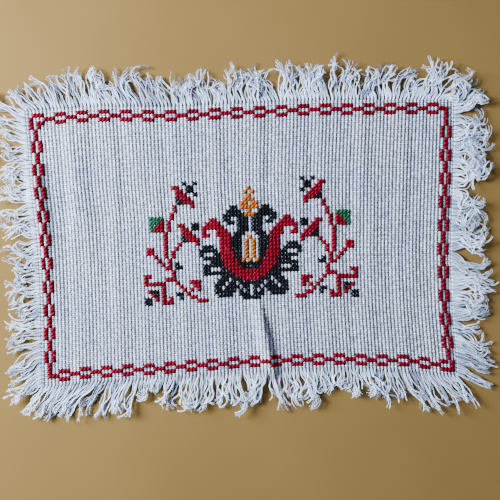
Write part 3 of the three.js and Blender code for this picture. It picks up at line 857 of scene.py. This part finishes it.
class Nodes:
    """A short way to write a material's node tree. Values are sockets or plain numbers."""

    def __init__(self, name):
        self.material = bpy.data.materials.new(name)
        self.material.use_nodes = True
        self.tree = self.material.node_tree
        self.shader = self.tree.nodes["Principled BSDF"]

    def add(self, kind, **settings):
        """A new node with its settings."""
        node = self.tree.nodes.new(kind)
        for key, value in settings.items():
            setattr(node, key, value)
        return node

    def feed(self, socket, value):
        """A value for a socket: a link where it is another socket, and its own number otherwise."""
        if isinstance(value, bpy.types.NodeSocket):
            self.tree.links.new(value, socket)
        else:
            socket.default_value = value

    def math(self, operation, *values):
        """One sum of up to three values."""
        node = self.add("ShaderNodeMath", operation=operation)
        for socket, value in zip(node.inputs, values):
            self.feed(socket, value)
        return node.outputs[0]

    def range(self, value, low, high, to_low=0.0, to_high=1.0):
        """The value's share between low and high, eased, as a value between to_low and to_high."""
        node = self.add("ShaderNodeMapRange", interpolation_type="SMOOTHSTEP")
        for socket, number in zip(node.inputs, (value, low, high, to_low, to_high)):
            self.feed(socket, number)
        return node.outputs[0]

    def near(self, distance, inner, outer, most=1.0):
        """The most within the inner distance, nothing past the outer one, and eased between."""
        return self.range(distance, inner, outer, most, 0.0)

    def distance(self, first, second):
        """The root of the sum of two squares."""
        squares = [self.math("MULTIPLY", value, value) for value in (first, second)]
        return self.math("SQRT", self.math("ADD", *squares))

    def mix(self, share, first, second):
        """A colour that is a share of the way from the first to the second."""
        node = self.add("ShaderNodeMix", data_type="RGBA")
        colours = [socket for socket in node.inputs if socket.type == "RGBA"]
        self.feed(node.inputs[0], share)
        for socket, colour in zip(colours, (first, second)):
            self.feed(socket, (*colour, 1) if isinstance(colour, tuple) else colour)
        return [socket for socket in node.outputs if socket.type == "RGBA"][0]

    def noise(self, vector, scale, detail):
        """Soft noise from 0 to 1."""
        node = self.add("ShaderNodeTexNoise")
        self.feed(node.inputs["Vector"], vector)
        node.inputs["Scale"].default_value = scale
        node.inputs["Detail"].default_value = detail
        return node.outputs["Fac"]

    def random(self, first, second):
        """A random share for each pair of values."""
        pair = self.add("ShaderNodeCombineXYZ")
        self.feed(pair.inputs[0], first)
        self.feed(pair.inputs[1], second)
        node = self.add("ShaderNodeTexWhiteNoise", noise_dimensions="2D")
        self.feed(node.inputs["Vector"], pair.outputs[0])
        return node.outputs["Value"]

    def coordinate(self, kind):
        """Where a point is, by the piece's own UV map or its Object coordinates."""
        return self.add("ShaderNodeTexCoord").outputs[kind]

    def uv_pair(self):
        """The two values of the UV map."""
        separate = self.add("ShaderNodeSeparateXYZ")
        self.feed(separate.inputs[0], self.coordinate("UV"))
        return separate.outputs[0], separate.outputs[1]

    def attribute(self, name):
        """A value that the mesh holds for each point."""
        return self.add("ShaderNodeAttribute", attribute_name=name).outputs["Fac"]

    def bump(self, height, distance, strength=1.0):
        """The normal of a relief that is a distance in metres deep."""
        node = self.add("ShaderNodeBump")
        node.inputs["Strength"].default_value = strength
        node.inputs["Distance"].default_value = distance
        self.feed(node.inputs["Height"], height)
        return node.outputs["Normal"]

    def finish(self, colour, normal, roughness, specular):
        """The finished material, with its gloss set on the shader's own sockets."""
        self.feed(self.shader.inputs["Base Color"], colour)
        self.feed(self.shader.inputs["Normal"], normal)
        self.shader.inputs["Roughness"].default_value = roughness
        self.shader.inputs["Specular IOR Level"].default_value = specular
        return self.material


def weave_shade(nodes, column, row, from_valley, pillow_gap, hole, uneven):
    """The painted shade of each place of the weave: valleys, pillow gaps and holes added up with a random
    unevenness, less so in the outermost band, where a row of holes painted dark runs along each edge."""
    from_row = nodes.math("PINGPONG", row, 0.5)
    from_side = nodes.math("MINIMUM", column, nodes.math("SUBTRACT", float(BLOCKS_ACROSS), column))
    from_end = nodes.math("MINIMUM", row, nodes.math("SUBTRACT", float(BLOCKS_DOWN), row))
    from_edge = nodes.math("MINIMUM", from_side, from_end)
    shade = nodes.math("MULTIPLY", nodes.near(from_valley, 0.0, VALLEY_REACH), VALLEY_SHADE)
    shade = nodes.math("MULTIPLY_ADD", pillow_gap, PILLOW_GAP_SHADE, shade)
    shade = nodes.math("MULTIPLY_ADD", hole, HOLE_SHADE, shade)
    shade = nodes.math("MULTIPLY_ADD", nodes.range(uneven, 0.3, 0.7, -1.0, 1.0), UNEVEN_SHADE, shade)
    inside = nodes.range(from_edge, *EDGE_BAND, to_low=EDGE_BAND_SHADE)
    shade = nodes.math("MULTIPLY", nodes.math("MAXIMUM", shade, 0.0), inside)
    # Holes painted dark along each edge: painted shade where the fringe leaves the cloth
    for along_edge, inward in ((from_valley, from_end), (from_row, from_side)):
        off_line = nodes.math("SUBTRACT", inward, EDGE_HOLES_INSIDE)
        edge_hole = nodes.near(nodes.distance(along_edge, off_line), *EDGE_HOLE_RADII)
        shade = nodes.math("MAXIMUM", shade, edge_hole)
    return nodes.math("MINIMUM", shade, DEEPEST_SHADE)


def cloth_material():
    """White cotton whose ribs and pillows differ at random in brightness, and whose valleys, pillow gaps
    and corner holes get painted shade, all from the piece's own UV map.
    """
    nodes = Nodes("white_block_weave")
    u, v = nodes.uv_pair()
    column = nodes.math("MULTIPLY", u, float(BLOCKS_ACROSS))
    row = nodes.math("MULTIPLY", nodes.math("SUBTRACT", 1.0, v), float(BLOCKS_DOWN))
    sway = nodes.math("SINE", nodes.math("MULTIPLY", row, FULL_TURN))
    wavy = nodes.math("MULTIPLY_ADD", sway, VALLEY_WAVE, column)
    from_valley = nodes.math("PINGPONG", wavy, 0.5)
    hole = nodes.near(nodes.distance(from_valley, nodes.math("PINGPONG", row, 0.5)), *HOLE_RADII)
    pillow_row = nodes.math("MULTIPLY", row, PILLOWS_PER_BLOCK)
    pillow_gap = nodes.near(nodes.math("PINGPONG", pillow_row, 0.5), 0.0, PILLOW_GAP_REACH)
    patches = nodes.noise(nodes.coordinate("Object"), scale=18.0, detail=4.0)
    uneven = nodes.noise(nodes.coordinate("Object"), scale=480.0, detail=2.0)

    rib_number = nodes.math("FLOOR", wavy)
    per_pillow = nodes.random(rib_number, nodes.math("FLOOR", pillow_row))
    per_rib = nodes.random(rib_number, 0.5)
    white = nodes.mix(nodes.range(patches, 0.3, 0.7), COTTON_COOL, COTTON_BRIGHT)
    white = nodes.mix(nodes.math("MULTIPLY", per_pillow, PILLOW_TONES), white, PILLOW_GREY)
    white = nodes.mix(nodes.math("MULTIPLY", per_rib, RIB_TONES), white, RIB_GREY)
    shade = weave_shade(nodes, column, row, from_valley, pillow_gap, hole, uneven)
    # Painted shade of valleys, pillow gaps and holes over the cotton's own colour
    colour = nodes.mix(shade, white, WEAVE_PAINTED_SHADE)
    height = nodes.math("MULTIPLY_ADD", pillow_gap, -1.0, nodes.math("MULTIPLY", uneven, 1.2))
    height = nodes.math("SUBTRACT", height, hole)
    return nodes.finish(colour, nodes.bump(height, distance=0.0004), roughness=0.95, specular=0.0)


def fringe_material():
    """White cotton yarn with fine fibres, each yarn of its own random brightness, with painted light on
    yarns high in the heap and painted shade on low ones and at the sides of their bunches.
    """
    nodes = Nodes("white_loose_yarn")
    # Dark to bright by each yarn's brightness, which holds painted shade and painted light
    colour = nodes.mix(nodes.range(nodes.attribute("tone_and_shade"), 0.0, 1.0), YARN_DARK_AND_SHADE, YARN_BRIGHT)
    fibres = nodes.noise(nodes.coordinate("Object"), scale=1800.0, detail=2.0)
    colour = nodes.mix(nodes.range(fibres, 0.35, 0.65, to_high=0.2), colour, FIBRE_GREY)
    normal = nodes.bump(fibres, distance=0.0001, strength=0.7)
    return nodes.finish(colour, normal, roughness=0.9, specular=0.05)


def thread_material(name, light, dark_and_shade):
    """Stranded cotton thread: three strands wind along each arm with painted shade in the grooves between
    them, each arm has its own random brightness, the lower arm gets painted shade, and painted shade
    darkens an arm towards its ends, where it sinks into the holes."""
    nodes = Nodes(name)
    u, v = nodes.uv_pair()
    strands = nodes.math("PINGPONG", nodes.math("MULTIPLY_ADD", u, 3.0, v), 0.5)
    groove = nodes.near(strands, 0.0, 0.22)
    fibres = nodes.noise(nodes.coordinate("Object"), scale=2200.0, detail=2.0)
    from_middle = nodes.math("ABSOLUTE", nodes.math("SUBTRACT", v, 0.5))
    # Share of the dark colour: painted shade in the grooves between strands, each arm's random part with
    # the lower arm's painted shade, and painted shade towards the ends, where an arm sinks into its holes
    share = nodes.math("MULTIPLY_ADD", groove, 0.25, nodes.math("MULTIPLY", nodes.attribute("tone_and_shade"), 0.5))
    share = nodes.math("ADD", nodes.range(from_middle, 0.2, 0.5, to_high=0.7), share)
    colour = nodes.mix(nodes.math("MINIMUM", share, 1.0), light, dark_and_shade)
    height = nodes.math("SUBTRACT", nodes.math("MULTIPLY", fibres, 0.4), groove)
    return nodes.finish(colour, nodes.bump(height, distance=0.00012), roughness=0.7, specular=0.03)


def floor_material():
    """A plain pale warm floor."""
    nodes = Nodes("pale_floor")
    patches = nodes.noise(nodes.coordinate("Object"), scale=5.0, detail=3.0)
    colour = nodes.mix(nodes.range(patches, 0.3, 0.7), FLOOR_DEEP, FLOOR_PALE)
    return nodes.finish(colour, nodes.bump(patches, distance=0.0002), roughness=0.8, specular=0.0)


cloth = make_cloth()
cloth.data.materials.append(cloth_material())
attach(cloth, "root")
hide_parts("cloth")

yarn_white = fringe_material()
for side, settings in FRINGES.items():
    fringe = make_fringe(side, *settings)
    fringe.data.materials.append(yarn_white)
    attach(fringe, "root")
    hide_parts("fringe_" + side)

charts = {colour: moved(blocks, MOTIF_COLUMN, MOTIF_ROW) for colour, blocks in motif_charts().items()}
charts["red"] += border_blocks()
for seed, (colour, (light, dark_and_shade, arm_width)) in enumerate(THREADS.items(), start=FIRST_THREAD_SEED):
    piece = make_stitches("stitches_" + colour, charts[colour], arm_width, seed)
    piece.data.materials.append(thread_material(colour + "_stranded_thread", light, dark_and_shade))
    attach(piece, "root")


def add_floor():
    """A wide plain floor at the mat's underside."""
    mesh = bpy.data.meshes.new("floor")
    half = FLOOR_HALF_WIDTH
    mesh.from_pydata([(-half, -half, 0), (half, -half, 0), (half, half, 0), (-half, half, 0)], [],
                     [(0, 1, 2, 3)])
    floor = bpy.data.objects.new("floor", mesh)
    bpy.context.scene.collection.objects.link(floor)
    mesh.materials.append(floor_material())


def add_area_light(name, location, size, energy, colour):
    """A square soft light that faces the mat."""
    data = bpy.data.lights.new(name, "AREA")
    data.size = size
    data.energy = energy
    data.color = colour
    light = bpy.data.objects.new(name, data)
    light.location = location
    bpy.context.scene.collection.objects.link(light)
    light.rotation_euler = (-light.location).to_track_quat("-Z", "Y").to_euler()


def add_camera():
    """Straight above, a little off the mat's middle, turned by the mat's own turn in the view."""
    above = np.array(CAMERA_OFFSET) + SHIFT
    data = bpy.data.cameras.new("camera")
    data.sensor_width = SENSOR_WIDTH
    data.lens = SENSOR_WIDTH * CAMERA_HEIGHT / VIEW_WIDTH
    data.clip_start = NEAREST_SEEN
    camera = bpy.data.objects.new("camera", data)
    camera.location = (above[0] * MM, above[1] * MM, CAMERA_HEIGHT * MM)
    camera.rotation_euler = (0, 0, -VIEW_TURN)
    bpy.context.scene.collection.objects.link(camera)
    bpy.context.scene.camera = camera


def set_world(colour, strength):
    """Even pale light from all round."""
    world = bpy.data.worlds.new("studio")
    world.use_nodes = True
    background = world.node_tree.nodes["Background"]
    background.inputs["Color"].default_value = (*colour, 1)
    background.inputs["Strength"].default_value = strength
    bpy.context.scene.world = world


add_floor()
add_area_light("window_left", location=(-0.92, 0.28, 0.45), size=0.42, energy=98.0,
               colour=(0.85, 0.925, 1.0))
add_area_light("fill_right", location=(1.2, -0.6, 1.4), size=1.4, energy=3.0,
               colour=(0.95, 0.97, 1.0))
set_world(colour=(0.87, 0.91, 1.0), strength=0.32)
add_camera()
